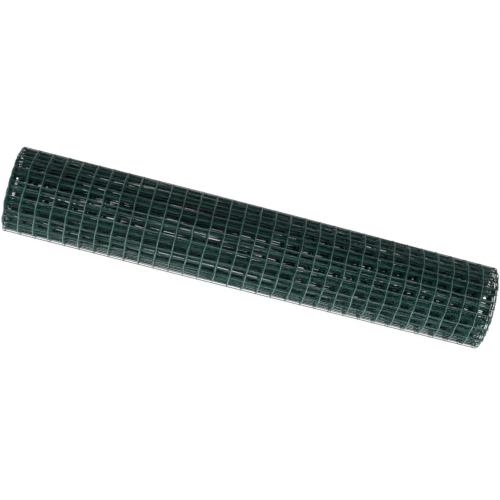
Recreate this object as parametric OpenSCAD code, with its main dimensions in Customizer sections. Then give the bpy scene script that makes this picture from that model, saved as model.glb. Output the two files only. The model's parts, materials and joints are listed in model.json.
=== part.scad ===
// Roll of welded wire mesh fencing, lying on its side on the floor.
// The mesh has straight cross wires along the roll and line wires wound round it.
// It is wound round nothing, so the roll has an open bore from end to end.
// The wound roll is one turned solid, and the gaps between its turns show on both ends.
// X is the roll's axis, Z is up, and the origin is on the floor under the roll's middle.

/* [Mesh] */
// Spacing of the wires in both directions, centre to centre
mesh_pitch = 19.05; // [10:0.05:60]
// Squares of mesh across the width of the sheet
squares_across = 32; // [10:1:80]
// Diameter of the wire's steel core
core_d = 0.6; // [0.4:0.1:2.5]
// Thickness of the coating, which is put on after the cores are welded
coat = 0.2; // [0.1:0.05:0.5]
// How far two cores sink into each other where they are welded
weld_sink = 0.25; // [0:0.05:0.35]
// Length of a cut cross wire past the centre of the edge wire
wire_end = 2; // [1:0.1:10]

/* [Roll] */
// Length of mesh that is wound on the roll
sheet_length = 6000; // [1000:10:30000]
// Diameter of the open bore
bore_d = 30; // [10:1:300]
// Slack between one turn and the next
turn_slack = 0.05; // [0:0.05:3]
// Depth of the gaps between the turns, as they show on the ends
turn_gap_depth = 6; // [1:0.5:15]

/* [Hidden] */

// Sides of the round shapes in a preview
$fn = 96;
// Distance that a cut runs past the face it opens
cut_past = 1;

bore_r = bore_d / 2;
wire_d = core_d + 2 * coat;
mesh_thickness = wire_d + core_d - weld_sink;
turn_pitch = mesh_thickness + turn_slack;
// The wound sheet fills the ring between the bore and the outside
roll_r = sqrt(bore_r * bore_r + sheet_length * turn_pitch / PI);
roll_width = squares_across * mesh_pitch + 2 * wire_end;
// Each gap leaves at least one wire's thickness beside the bore
gap_count = floor((roll_r - bore_r - wire_d) / turn_pitch);

// The ring-shaped gaps between the line wires of neighbouring turns, at the upper end
module turn_gaps() {
    for (turn = [1 : gap_count])
        rotate_extrude()
            translate([roll_r - turn * turn_pitch, roll_width / 2 - turn_gap_depth])
                square([turn_pitch - wire_d, turn_gap_depth + cut_past]);
}

// The wound mesh as it stands on end, centred on the origin
module upright_roll() {
    difference() {
        cylinder(r = roll_r, h = roll_width, center = true);
        cylinder(r = bore_r, h = roll_width + 2 * cut_past, center = true);
        for (end = [0, 1])
            mirror([0, 0, end]) turn_gaps();
    }
}

module mesh_roll() {
    color("#22403a")
        translate([0, 0, roll_r])
            rotate([0, 90, 0])
                upright_roll();
}

mesh_roll();
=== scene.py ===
import json
import math

import bpy
import numpy as np
from mathutils import Matrix, Vector


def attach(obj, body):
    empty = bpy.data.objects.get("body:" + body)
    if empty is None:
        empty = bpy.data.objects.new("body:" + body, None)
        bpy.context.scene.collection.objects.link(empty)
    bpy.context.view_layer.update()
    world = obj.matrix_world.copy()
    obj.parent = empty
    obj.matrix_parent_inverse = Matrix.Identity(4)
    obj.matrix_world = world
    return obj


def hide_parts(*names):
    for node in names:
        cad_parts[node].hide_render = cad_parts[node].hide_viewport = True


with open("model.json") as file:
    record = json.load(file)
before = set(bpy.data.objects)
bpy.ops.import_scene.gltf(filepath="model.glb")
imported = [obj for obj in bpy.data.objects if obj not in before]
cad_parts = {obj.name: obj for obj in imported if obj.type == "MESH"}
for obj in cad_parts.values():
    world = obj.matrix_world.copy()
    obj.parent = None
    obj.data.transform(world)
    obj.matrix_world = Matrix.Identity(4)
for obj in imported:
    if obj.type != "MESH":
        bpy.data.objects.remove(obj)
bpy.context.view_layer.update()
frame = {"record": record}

# The looks of a roll of welded wire mesh: every wire of the wound sheet, its coating and its welds.
# X is the roll's axis, the front is -Y and Z is up, in metres.

MM = 0.001

# The mesh sheet
SQUARES_ACROSS = 32
CORE_D = 0.6 * MM
COAT = 0.2 * MM
WELD_SINK = 0.25 * MM
WIRE_END = 2.0 * MM
SHEET_LENGTH = 6000 * MM
WIRE_D = CORE_D + 2 * COAT
WELD_DEPTH = CORE_D - WELD_SINK

# The roll, with its size from the frame
bore = next(mount for mount in frame["record"]["mounts"] if mount["name"] == "core_bore")
ROLL_R = bore["pos_m"][2]
BORE_R = bore["dims"]["r_mm"] * MM
HALF_WIDTH = bore["dims"]["length_mm"] / 2 * MM
MESH_PITCH = 2 * (HALF_WIDTH - WIRE_END) / SQUARES_ACROSS
TURN_PITCH = math.pi * (ROLL_R**2 - BORE_R**2) / SHEET_LENGTH
TURN = 2 * math.pi
FULL_ANGLE = TURN * (ROLL_R - BORE_R) / TURN_PITCH

# The free end of the sheet lies low at the front, and angles are wound from there
FREE_END_ANGLE = math.radians(-32.4)
# The wound roll springs back a little, and its outer half swells as its inner half draws in
SPRING_BACK = 0.51 * MM
OUTER_SWELL = 0.77 * MM
LINE_R = ROLL_R + SPRING_BACK - WIRE_D / 2
# The roll tapers to the right and bulges in its middle like a barrel, as shares of its radius
TAPER = 0.0121
BARREL = 0.0155
# The outer wraps spring off at the front, each by a share of what the wrap outside it does
LOOSE_LIFT = 1.42 * MM
LOOSE_SHARE = 0.24
LOOSE_WRAPS = 4
LOOSE_AT = math.radians(47)
LOOSE_SPAN = math.radians(54)
# The outer wraps are pushed to the right, where the line wires bow in and out once a square.
# The bow is about halved from each line wire to the next, away from the right edge.
PUSHED_TURNS = 5.5
PUSHED_RIGHT = 2.4 * MM
EDGE_BOW = 0.6 * MM
EDGE_FADE = 20

# How far the wires stray from their true places
SEED = 715
CROSS_JITTER = 0.35 * MM
CROSS_DRIFT = 0.45 * MM
LAYER_SKEW = 0.3 * MM
LINE_DRIFT = 0.2 * MM
LINE_KINK = 0.25 * MM
LAYER_SHIFT = 0.4 * MM
# The lengths of the waves in which they stray, along the sheet, along the roll and in wound angle
SKEW_WAVES = [250 * MM, 420 * MM, 900 * MM]
CROSS_WAVES = [110 * MM, 190 * MM, 340 * MM]
LINE_WAVES = [1.1, 2.3, 5.1]
KINK_WAVES = [0.5, 0.9]
LAYER_WAVES = [7.0, 16.0]
# A sine's peak over its effective size
SINE_PEAK = 1.41
# How far the cross wires are cut short at the left and the right, and how unevenly
CUT_SHORT = (1.4 * MM, 0.2 * MM)
CUT_JITTER = 0.7 * MM

# The beads of coating at the welds, as shares of the wire's thickness
BEAD_SPREAD = 1.3
BEAD_HEIGHT = 1.5
BEAD_UNEVEN = 0.1

# The outermost wrap's wires are painted pale on their outward side, and its cross wires and beads less so.
# This is a painted sheen that stands in for highlights.
# Some cross wires inside are worn pale at random. The outer wraps that carry the painted sheen also keep
# their place along the roll.
SHEEN_TURNS = 0.65
CROSS_SHEEN = 0.6
INNER_WEAR = 0.7
INNER_WEAR_POWER = 3

# Colours of the coat and of the sheared steel, both from dark to light, and the pale colour of the painted
# sheen and of the wear
GREEN = (0.008, 0.059, 0.052), (0.016, 0.087, 0.077)
SHEEN_AND_WEAR_GREEN = (0.235, 0.335, 0.315)
STEEL = (0.2, 0.195, 0.185), (0.42, 0.41, 0.4)

# Steps in which the wound length is added up
ANGLE_STEPS = 20000

# Fineness of the meshes. Straight steps cut about the sagitta off a line wire's curve,
# and the outer wraps have twice as many steps.
SIDES = 8
SAGITTA = 0.18 * MM
FINE_TURNS = 4
RINGS_PER_SQUARE = 1
BEAD_SIDES = 6
BEAD_RINGS = 3
BAKE_MAP = "OFBake"
SHEEN_AND_WEAR = "sheen_and_wear"

# The camera, fitted to how the roll lies in the photo
IMAGE_PX = 500
ROLL_CENTRE_PX = (251.6, 248.0)
ROLL_TILT = math.radians(14.23)
CAMERA_ELEVATION = math.radians(80)
CAMERA_YAW = math.radians(2.4)
CAMERA_DISTANCE = 1.5
FOCAL_PX = 1192
SENSOR_MM = 36

rng = np.random.default_rng(SEED)


def make_drift(rows, wavelengths, size):
    """A smooth random function for each row, as a sum of waves, about as large as size."""
    phase = rng.uniform(0, TURN, (len(wavelengths), rows, 1))
    height = rng.normal(0, size / math.sqrt(len(wavelengths)), (len(wavelengths), rows, 1))

    def drift(position):
        turns = [position / length for length in wavelengths]
        waves = [h * np.sin(TURN * t + p) for h, t, p in zip(height, turns, phase)]
        return SINE_PEAK * sum(waves)

    return drift


def turn_radius(angle):
    """Radius of the line wires at a wound angle, at the middle of the roll's length."""
    return LINE_R - TURN_PITCH * angle / TURN + OUTER_SWELL * np.sin(TURN * angle / FULL_ANGLE)


def loose_lift(angle):
    """How far the outer wraps spring off the roll, less for each wrap."""
    lift = np.zeros_like(angle)
    for wrap in range(LOOSE_WRAPS):
        from_peak = angle - LOOSE_AT - TURN * wrap
        lift += LOOSE_SHARE**wrap * np.exp(-((from_peak / LOOSE_SPAN) ** 2))
    return LOOSE_LIFT * lift


def outermost(angle, turns):
    """1 on about the given number of outer wraps, and soon 0 further in."""
    return np.exp(-((angle / (turns * TURN)) ** 4))


def running_total(steps, values):
    """The integral of values over steps, from the first step to each."""
    return np.concatenate([[0], np.cumsum((values[1:] + values[:-1]) / 2 * np.diff(steps))])


# The length of sheet and the number of rings that a line wire needs, from its free end to each angle
ANGLES = np.linspace(0, FULL_ANGLE, ANGLE_STEPS)
LENGTHS = running_total(ANGLES, turn_radius(ANGLES) + loose_lift(ANGLES))
RING_RATE = np.sqrt(turn_radius(ANGLES) / (8 * SAGITTA)) * (1 + outermost(ANGLES, FINE_TURNS))
RINGS = running_total(ANGLES, RING_RATE)


def wound_angle(length):
    """The angle wound from the free end of the sheet, for a length measured from there."""
    return np.interp(length, LENGTHS, ANGLES)


def outward(angle):
    """Unit vectors away from the roll's axis at a wound angle."""
    slope = FREE_END_ANGLE + angle
    return np.stack([np.zeros_like(slope), -np.cos(slope), np.sin(slope)], -1)


def onward(angle):
    """Unit vectors along the sheet, towards the inside of the roll."""
    slope = FREE_END_ANGLE + angle
    return np.stack([np.zeros_like(slope), np.sin(slope), np.cos(slope)], -1)


def sheet_points(x, angle, depth):
    """Points of the wound sheet, at a depth below its line wires."""
    x, angle = np.broadcast_arrays(x, angle)
    across = x / HALF_WIDTH
    narrow = 1 - TAPER * across - BARREL * across**2
    radius = turn_radius(angle) * narrow - depth + loose_lift(angle)
    points = radius[..., None] * outward(angle)
    points[..., 0] = x
    points[..., 2] += ROLL_R * narrow
    return points


def add_mesh(name, points, faces, places, sheen_and_wear, materials, steel_faces=0):
    """A smooth mesh from arrays, with a map for baking and the painted sheen and wear of its coat at each
    point.

    Its last steel_faces faces take the second material.
    """
    mesh = bpy.data.meshes.new(name)
    corners = np.concatenate([f.ravel() for f in faces])
    counts = np.concatenate([np.full(len(f), f.shape[1]) for f in faces])
    starts = np.concatenate([[0], np.cumsum(counts)[:-1]])
    mesh.vertices.add(len(points))
    mesh.vertices.foreach_set("co", points.astype(np.float32).ravel())
    mesh.loops.add(len(corners))
    mesh.loops.foreach_set("vertex_index", corners.astype(np.int32))
    mesh.polygons.add(len(counts))
    mesh.polygons.foreach_set("loop_start", starts.astype(np.int32))
    mesh.polygons.foreach_set("loop_total", counts.astype(np.int32))
    mesh.polygons.foreach_set("use_smooth", np.ones(len(counts), bool))
    slots = np.zeros(len(counts), np.int32)
    slots[len(counts) - steel_faces:] = 1
    mesh.polygons.foreach_set("material_index", slots)
    # Per-point share of the pale colour: painted sheen on the outer wraps, wear on some inner cross wires
    sheen_and_wear_layer = mesh.attributes.new(SHEEN_AND_WEAR, "FLOAT", "POINT")
    sheen_and_wear_layer.data.foreach_set("value", sheen_and_wear.astype(np.float32).ravel())
    mesh.uv_layers.new(name=BAKE_MAP)
    mesh.uv_layers[BAKE_MAP].uv.foreach_set("vector", places.astype(np.float32).ravel())
    for material in materials:
        mesh.materials.append(material)
    mesh.update(calc_edges=True)
    mesh.validate()
    piece = bpy.data.objects.new(name, mesh)
    bpy.context.scene.collection.objects.link(piece)
    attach(piece, "root")
    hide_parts("mesh_roll")
    return piece


def add_tubes(name, centres, out, beside, sheen_and_wear, materials):
    """Round wires along rows of points, joined in one mesh, with cut ends that show the core.

    The wires are worn on the side that faces out.
    """
    wires, rings = centres.shape[:2]
    turn = TURN * np.arange(SIDES) / SIDES
    circle = np.cos(turn)[:, None] * out[:, :, None] + np.sin(turn)[:, None] * beside[:, :, None]
    skin = centres[:, :, None] + WIRE_D / 2 * circle
    ends = [0, rings - 1]
    core = centres[:, ends, None] + CORE_D / 2 * circle[:, ends]
    middle = centres[:, ends]
    points = np.concatenate([skin.reshape(-1, 3), core.reshape(-1, 3), middle.reshape(-1, 3)])
    # Painted highlight: the side of each wire that faces out is mixed towards the pale colour
    skin_sheen_and_wear = (sheen_and_wear[:, :, None] * np.maximum(np.cos(turn), 0)).ravel()
    point_sheen_and_wear = np.concatenate([skin_sheen_and_wear, np.zeros(len(points) - len(skin_sheen_and_wear))])

    side = np.arange(SIDES)
    after = (side + 1) % SIDES
    wire = np.arange(wires)[:, None, None]
    ring = np.arange(rings - 1)[None, :, None]
    first = (wire * rings + ring) * SIDES
    body = np.stack([first + side, first + after, first + SIDES + after, first + SIDES + side], -1)
    wire = wire[:, 0]
    core_start = wires * rings * SIDES
    middle_start = core_start + wires * 2 * SIDES
    rims, discs = [], []
    for end in (0, 1):
        outer = (wire * rings + ends[end]) * SIDES
        inner = core_start + (wire * 2 + end) * SIDES
        hub = middle_start + wire * 2 + end + 0 * side
        near, far = (after, side) if end == 0 else (side, after)
        rims.append(np.stack([outer + near, outer + far, inner + far, inner + near], -1))
        discs.append(np.stack([inner + near, inner + far, hub], -1))
    faces = [body.reshape(-1, 4), rims[0].reshape(-1, 4), rims[1].reshape(-1, 4)]
    faces += [discs[0].reshape(-1, 3), discs[1].reshape(-1, 3)]

    # Each wire is a strip of the bake map, with its two cut ends at the strip's ends
    margin = 0.1
    strip = np.arange(wires)[:, None, None] + margin
    side_v = (1 - 2 * margin) / SIDES
    low_v = (strip + side_v * side) / wires
    high_v = (strip + side_v * (side + 1)) / wires
    edge_u = 0.01
    ring_u = (2 * edge_u + (1 - 4 * edge_u) * np.arange(rings) / (rings - 1))[None, :, None]
    u0 = np.broadcast_to(ring_u[:, :-1], (wires, rings - 1, SIDES))
    u1 = np.broadcast_to(ring_u[:, 1:], (wires, rings - 1, SIDES))
    v0 = np.broadcast_to(low_v, u0.shape)
    v1 = np.broadcast_to(high_v, u0.shape)
    body_uv = np.stack([u0, v0, u0, v1, u1, v1, u1, v0], -1).reshape(-1, 2)
    rim_uvs, disc_uvs = [], []
    for end in (0, 1):
        steps = np.array([2, 1, 0]) * edge_u
        at = steps if end == 0 else 1 - steps
        near, far = (high_v, low_v) if end == 0 else (low_v, high_v)
        outer, inner, hub = (np.full(low_v.shape, value) for value in at)
        rim_uvs.append(np.stack([outer, near, outer, far, inner, far, inner, near], -1).reshape(-1, 2))
        disc_uvs.append(np.stack([inner, near, inner, far, hub, (near + far) / 2], -1).reshape(-1, 2))
    places = np.concatenate([body_uv, *rim_uvs, *disc_uvs])
    return add_mesh(name, points, faces, places, point_sheen_and_wear, materials, steel_faces=2 * wires * SIDES)


def add_beads(name, centres, sides, sheen_and_wear, material):
    """A bead of coating round each weld, joined in one mesh.

    Sides are the half axes of each bead as vectors.
    """
    count = len(centres)
    rise = math.pi * np.arange(1, BEAD_RINGS) / BEAD_RINGS
    turn = TURN * np.arange(BEAD_SIDES) / BEAD_SIDES
    ring_x = np.outer(np.sin(rise), np.cos(turn))
    ring_y = np.outer(np.sin(rise), np.sin(turn))
    ring_z = np.outer(np.cos(rise), np.ones(BEAD_SIDES))
    ring = np.stack([ring_x, ring_y, ring_z], -1).reshape(-1, 3)
    unit = np.concatenate([[[0, 0, 1]], ring, [[0, 0, -1]]])
    points = centres[:, None] + np.einsum("pk,nkc->npc", unit, sides)
    side = np.arange(BEAD_SIDES)
    after = (side + 1) % BEAD_SIDES
    last = len(unit) - 1
    bottom = 1 + (BEAD_RINGS - 2) * BEAD_SIDES
    cap_top = np.stack([0 * side, 1 + side, 1 + after], -1)
    cap_bottom = np.stack([0 * side + last, bottom + after, bottom + side], -1)
    bands = []
    for upper in 1 + BEAD_SIDES * np.arange(BEAD_RINGS - 2):
        lower = upper + BEAD_SIDES
        bands.append(np.stack([upper + side, lower + side, lower + after, upper + after], -1))
    shift = (np.arange(count) * len(unit))[:, None, None]
    faces = [(shift + np.concatenate(bands)).reshape(-1, 4)]
    faces += [(shift + cap).reshape(-1, 3) for cap in (cap_top, cap_bottom)]

    # Each bead has one square of the bake map, seen along its third axis
    grid = math.ceil(math.sqrt(count))
    cell = np.stack([np.arange(count) % grid, np.arange(count) // grid], -1)
    spread = np.concatenate([[0], np.repeat(rise, BEAD_SIDES), [math.pi]]) / math.pi
    around = np.concatenate([[0], np.tile(turn, BEAD_RINGS - 1), [0]])
    reach = 0.42
    flat = 0.5 + reach * spread[:, None] * np.stack([np.cos(around), np.sin(around)], -1)
    place = ((cell[:, None] + flat) / grid).reshape(-1, 2)
    places = np.concatenate([place[f.ravel()] for f in faces])
    return add_mesh(name, points.reshape(-1, 3), faces, places, np.repeat(sheen_and_wear, len(unit)), [material])


def new_material(name):
    """An empty material with its nodes and links."""
    material = bpy.data.materials.new(name)
    material.use_nodes = True
    nodes = material.node_tree.nodes
    nodes.clear()
    return nodes, material.node_tree.links, material


def noise(nodes, links, place, scale, detail):
    """Noise of about the given number of patches a metre."""
    node = nodes.new("ShaderNodeTexNoise")
    node.inputs["Scale"].default_value = scale
    node.inputs["Detail"].default_value = detail
    links.new(place, node.inputs["Vector"])
    return node.outputs["Fac"]


def remap(nodes, links, value, low, high, to_low, to_high):
    """A value's range from low to high, spread over another range."""
    node = nodes.new("ShaderNodeMapRange")
    for socket, number in zip(("From Min", "From Max", "To Min", "To Max"), (low, high, to_low, to_high)):
        node.inputs[socket].default_value = number
    links.new(value, node.inputs["Value"])
    return node.outputs["Result"]


def blend_colours(nodes, links, share, colour_a, colour_b):
    """The first colour where the share is 0, the second where it is 1."""
    node = nodes.new("ShaderNodeMix")
    node.data_type = "RGBA"
    links.new(share, node.inputs["Factor"])
    for socket, colour in (("A", colour_a), ("B", colour_b)):
        target = next(i for i in node.inputs if i.name == socket and i.type == "RGBA")
        if isinstance(colour, tuple):
            target.default_value = (*colour, 1)
        else:
            links.new(colour, target)
    return next(o for o in node.outputs if o.type == "RGBA")


def coating_material():
    """Satin green plastic coat, uneven in tone and gloss, with a rough skin, a painted pale sheen on the
    outer wraps and pale wear on some cross wires.
    """
    nodes, links, material = new_material("green_coat")
    place = nodes.new("ShaderNodeTexCoord").outputs["Object"]
    broad = remap(nodes, links, noise(nodes, links, place, 28, 3), 0.35, 0.65, 0, 1)
    fine = noise(nodes, links, place, 420, 4)
    patches = remap(nodes, links, noise(nodes, links, place, 150, 5), 0.3, 0.7, 0.35, 1)
    sheen_and_wear = nodes.new("ShaderNodeAttribute")
    sheen_and_wear.attribute_name = SHEEN_AND_WEAR
    pale_share = nodes.new("ShaderNodeMath")
    pale_share.operation = "MULTIPLY"
    links.new(patches, pale_share.inputs[0])
    links.new(sheen_and_wear.outputs["Fac"], pale_share.inputs[1])
    green = blend_colours(nodes, links, broad, *GREEN)
    # The pale colour is the painted sheen on the outer wraps and the wear on some cross wires inside
    colour = blend_colours(nodes, links, pale_share.outputs[0], green, SHEEN_AND_WEAR_GREEN)
    shader = nodes.new("ShaderNodeBsdfPrincipled")
    links.new(colour, shader.inputs["Base Color"])
    shader.inputs["Specular IOR Level"].default_value = 0.2
    links.new(remap(nodes, links, fine, 0.3, 0.7, 0.3, 0.48), shader.inputs["Roughness"])
    bump = nodes.new("ShaderNodeBump")
    bump.inputs["Strength"].default_value = 0.35
    bump.inputs["Distance"].default_value = 0.15 * MM
    links.new(fine, bump.inputs["Height"])
    links.new(bump.outputs["Normal"], shader.inputs["Normal"])
    output = nodes.new("ShaderNodeOutputMaterial")
    links.new(shader.outputs["BSDF"], output.inputs["Surface"])
    return material


def steel_material():
    """Dull sheared steel of the cut wire ends."""
    nodes, links, material = new_material("cut_steel")
    place = nodes.new("ShaderNodeTexCoord").outputs["Object"]
    grain = noise(nodes, links, place, 900, 3)
    shader = nodes.new("ShaderNodeBsdfPrincipled")
    colour = blend_colours(nodes, links, grain, *STEEL)
    links.new(colour, shader.inputs["Base Color"])
    links.new(remap(nodes, links, grain, 0.3, 0.7, 0.4, 0.65), shader.inputs["Roughness"])
    shader.inputs["Metallic"].default_value = 1
    output = nodes.new("ShaderNodeOutputMaterial")
    links.new(shader.outputs["BSDF"], output.inputs["Surface"])
    return material


def build_roll():
    """The wires and weld beads of the wound sheet."""
    coat = coating_material()
    steel = steel_material()

    # Where the wires run on the sheet, with their small strays
    cross_count = int(SHEET_LENGTH / MESH_PITCH)
    cross_start = np.arange(cross_count)[:, None] * MESH_PITCH + WIRE_END
    cross_start = cross_start + rng.normal(0, CROSS_JITTER, cross_start.shape)
    skew_of = make_drift(1, SKEW_WAVES, LAYER_SKEW)
    cross_drift = make_drift(cross_count, CROSS_WAVES, CROSS_DRIFT)
    line_drift = make_drift(SQUARES_ACROSS + 1, LINE_WAVES, LINE_DRIFT)
    layer_shift = make_drift(1, LAYER_WAVES, LAYER_SHIFT)
    line_kink = make_drift(SQUARES_ACROSS + 1, KINK_WAVES, LINE_KINK)
    line_place = (np.arange(SQUARES_ACROSS + 1)[:, None] - SQUARES_ACROSS / 2) * MESH_PITCH
    cross_skew = skew_of(cross_start.T).T

    def shifted(x, angle):
        """Places along the roll, with the wraps inside further left, most of all at the right end."""
        inner = PUSHED_RIGHT * (1 - outermost(angle, PUSHED_TURNS)) * (1 + x / HALF_WIDTH) / 2
        return x - inner + layer_shift(angle) * (1 - outermost(angle, SHEEN_TURNS))

    def cross_angle(x):
        return wound_angle(cross_start + cross_skew * x / HALF_WIDTH + cross_drift(x))

    def line_x(angle):
        squares = np.interp(angle, ANGLES, LENGTHS) / MESH_PITCH
        bow = EDGE_BOW * ((1 + line_place / HALF_WIDTH) / 2) ** EDGE_FADE * np.sin(TURN * squares)
        return shifted(line_place + line_drift(angle) + line_kink(angle) + bow, angle)

    # Line wires run round the roll, from the free end to the bore
    last_angle = wound_angle(cross_start[-1, 0] + WIRE_END)
    last_ring = np.interp(last_angle, ANGLES, RINGS)
    line_angle = np.interp(np.linspace(0, last_ring, int(last_ring)), RINGS, ANGLES)[None, :]
    x = line_x(line_angle)
    line_angle = np.broadcast_to(line_angle, x.shape)
    line_centres = sheet_points(x, line_angle, 0)

    # Cross wires run along the roll, under the line wires
    along = np.linspace(-1, 1, SQUARES_ACROSS * RINGS_PER_SQUARE + 1)
    reach = HALF_WIDTH - np.array(CUT_SHORT) - np.abs(rng.normal(0, CUT_JITTER, (cross_count, 2)))
    x = np.where(along < 0, reach[:, :1], reach[:, 1:]) * along
    cross_turn = cross_angle(x)
    cross_centres = sheet_points(shifted(x, cross_turn), cross_turn, WELD_DEPTH)

    # A bead of coating sits round each weld, between the two wires
    bead_turn = cross_angle(np.broadcast_to(line_place.T, (cross_count, SQUARES_ACROSS + 1)))
    bead_centres = sheet_points(line_x(bead_turn.T).T, bead_turn, WELD_DEPTH / 2)
    swell = rng.uniform(1 - BEAD_UNEVEN, 1 + BEAD_UNEVEN, bead_turn.shape)[..., None] * WIRE_D / 2
    axis = np.zeros_like(bead_centres) + np.array([1.0, 0, 0])
    spread = BEAD_SPREAD * swell
    bead_axes = [spread * onward(bead_turn), BEAD_HEIGHT * swell * outward(bead_turn), spread * axis]
    bead_sides = np.stack(bead_axes, -2)

    # The lowest wire rests on the floor
    drop = np.array([0, 0, line_centres[..., 2].min() - WIRE_D / 2])
    radial = outward(line_angle)
    axis = np.zeros_like(radial) + np.array([1.0, 0, 0])
    groups = np.array_split(np.arange(SQUARES_ACROSS + 1), 3)
    for part, rows in zip(("left", "middle", "right"), groups):
        centres = line_centres[rows] - drop
        # Painted sheen: the outermost wrap's line wires are made pale
        sheen_and_wear = outermost(line_angle[rows], SHEEN_TURNS)
        add_tubes(f"line_wires_{part}", centres, radial[rows], axis[rows], sheen_and_wear, [coat, steel])
    centres = cross_centres - drop
    # Painted sheen on the outer cross wires, and pale wear at random on some cross wires inside
    inner_wear = INNER_WEAR * rng.random((cross_count, 1)) ** INNER_WEAR_POWER
    sheen_and_wear = np.maximum(CROSS_SHEEN * outermost(cross_turn, SHEEN_TURNS), inner_wear)
    add_tubes("cross_wires", centres, outward(cross_turn), -onward(cross_turn), sheen_and_wear, [coat, steel])
    halves = np.array_split(np.arange(cross_count), 2)
    for part, rows in zip(("outer", "inner"), halves):
        centres = (bead_centres[rows] - drop).reshape(-1, 3)
        # Painted sheen on the outer wraps' beads
        sheen_and_wear = CROSS_SHEEN * outermost(bead_turn[rows], SHEEN_TURNS).ravel()
        add_beads(f"weld_beads_{part}", centres, bead_sides[rows].reshape(-1, 3, 3), sheen_and_wear, coat)


def seen_rays(nodes, links):
    """1 for rays that come from the camera, straight or by way of a glossy or clear surface."""
    path = nodes.new("ShaderNodeLightPath")
    total = path.outputs["Is Camera Ray"]
    for kind in ("Is Glossy Ray", "Is Transmission Ray"):
        node = nodes.new("ShaderNodeMath")
        node.operation = "MAXIMUM"
        links.new(total, node.inputs[0])
        links.new(path.outputs[kind], node.inputs[1])
        total = node.outputs[0]
    return total


def build_floor():
    """A wide floor that the camera sees as white with a faint shadow."""
    mesh = bpy.data.meshes.new("floor")
    half = 12
    corners = [(-half, -half, 0), (half, -half, 0), (half, half, 0), (-half, half, 0)]
    mesh.from_pydata(corners, [], [(0, 1, 2, 3)])
    floor = bpy.data.objects.new("floor", mesh)
    bpy.context.scene.collection.objects.link(floor)
    nodes, links, material = new_material("pale_floor")
    seen = seen_rays(nodes, links)
    plain = nodes.new("ShaderNodeBsdfDiffuse")
    plain.inputs["Color"].default_value = (0.8, 0.8, 0.8, 1)
    faint = nodes.new("ShaderNodeBsdfDiffuse")
    faint.inputs["Color"].default_value = (0.1, 0.1, 0.1, 1)
    glow = nodes.new("ShaderNodeEmission")
    glow.inputs["Strength"].default_value = 0.95
    both = nodes.new("ShaderNodeAddShader")
    links.new(faint.outputs[0], both.inputs[0])
    links.new(glow.outputs[0], both.inputs[1])
    mix = nodes.new("ShaderNodeMixShader")
    links.new(seen, mix.inputs["Fac"])
    links.new(plain.outputs[0], mix.inputs[1])
    links.new(both.outputs[0], mix.inputs[2])
    output = nodes.new("ShaderNodeOutputMaterial")
    links.new(mix.outputs[0], output.inputs["Surface"])
    mesh.materials.append(material)


def add_lamp(name, place, size, power):
    """A soft rectangular lamp that faces the roll's middle."""
    light = bpy.data.lights.new(name, "AREA")
    light.shape = "RECTANGLE"
    light.size, light.size_y = size
    light.energy = power
    lamp = bpy.data.objects.new(name, light)
    lamp.location = place
    lamp.rotation_euler = (Vector((0, 0, ROLL_R)) - place).to_track_quat("-Z", "Y").to_euler()
    lamp.visible_camera = False
    bpy.context.scene.collection.objects.link(lamp)


def build_light():
    """Soft lamps in a dim room, with a white background for the camera."""
    world = bpy.data.worlds.new("studio")
    world.use_nodes = True
    bpy.context.scene.world = world
    nodes = world.node_tree.nodes
    links = world.node_tree.links
    nodes.clear()
    path = nodes.new("ShaderNodeLightPath")
    level = nodes.new("ShaderNodeMapRange")
    level.inputs["To Min"].default_value = 0.03
    level.inputs["To Max"].default_value = 1
    links.new(path.outputs["Is Camera Ray"], level.inputs["Value"])
    background = nodes.new("ShaderNodeBackground")
    links.new(level.outputs["Result"], background.inputs["Strength"])
    output = nodes.new("ShaderNodeOutputWorld")
    links.new(background.outputs[0], output.inputs["Surface"])
    add_lamp("front_softbox", Vector((0, -1.5, 0.2)), (1.6, 0.4), 31)
    add_lamp("left_softbox", Vector((-1.3, 0, 1.3)), (0.8, 0.8), 10)
    add_lamp("right_softbox", Vector((1.3, 0, 1.3)), (0.8, 0.8), 18)
    add_lamp("back_softbox", Vector((0, 1.0, 1.8)), (2.0, 0.8), 1.2)


def build_camera():
    """A camera high over the front, turned so that the roll slants as in the photo."""
    data = bpy.data.cameras.new("camera")
    data.sensor_width = SENSOR_MM
    data.lens = SENSOR_MM * FOCAL_PX / IMAGE_PX
    data.clip_end = 50
    camera = bpy.data.objects.new("camera", data)
    bpy.context.scene.collection.objects.link(camera)
    square_on = Vector((0, -math.cos(CAMERA_ELEVATION), math.sin(CAMERA_ELEVATION)))
    axis = Vector((1, 0, 0))
    back = math.cos(CAMERA_YAW) * square_on - math.sin(CAMERA_YAW) * axis
    along = math.cos(CAMERA_YAW) * axis + math.sin(CAMERA_YAW) * square_on
    upright = back.cross(along)
    right = math.cos(ROLL_TILT) * along + math.sin(ROLL_TILT) * upright
    up = math.cos(ROLL_TILT) * upright - math.sin(ROLL_TILT) * along
    px = CAMERA_DISTANCE / FOCAL_PX
    middle = IMAGE_PX / 2
    offset = (middle - ROLL_CENTRE_PX[0]) * px * right - (middle - ROLL_CENTRE_PX[1]) * px * up
    place = Vector((0, 0, ROLL_R)) + offset + CAMERA_DISTANCE * back
    camera.matrix_world = Matrix.Translation(place) @ Matrix((right, up, back)).transposed().to_4x4()
    bpy.context.scene.camera = camera


build_roll()
build_floor()
build_light()
build_camera()
bpy.context.scene.view_settings.view_transform = "Standard"
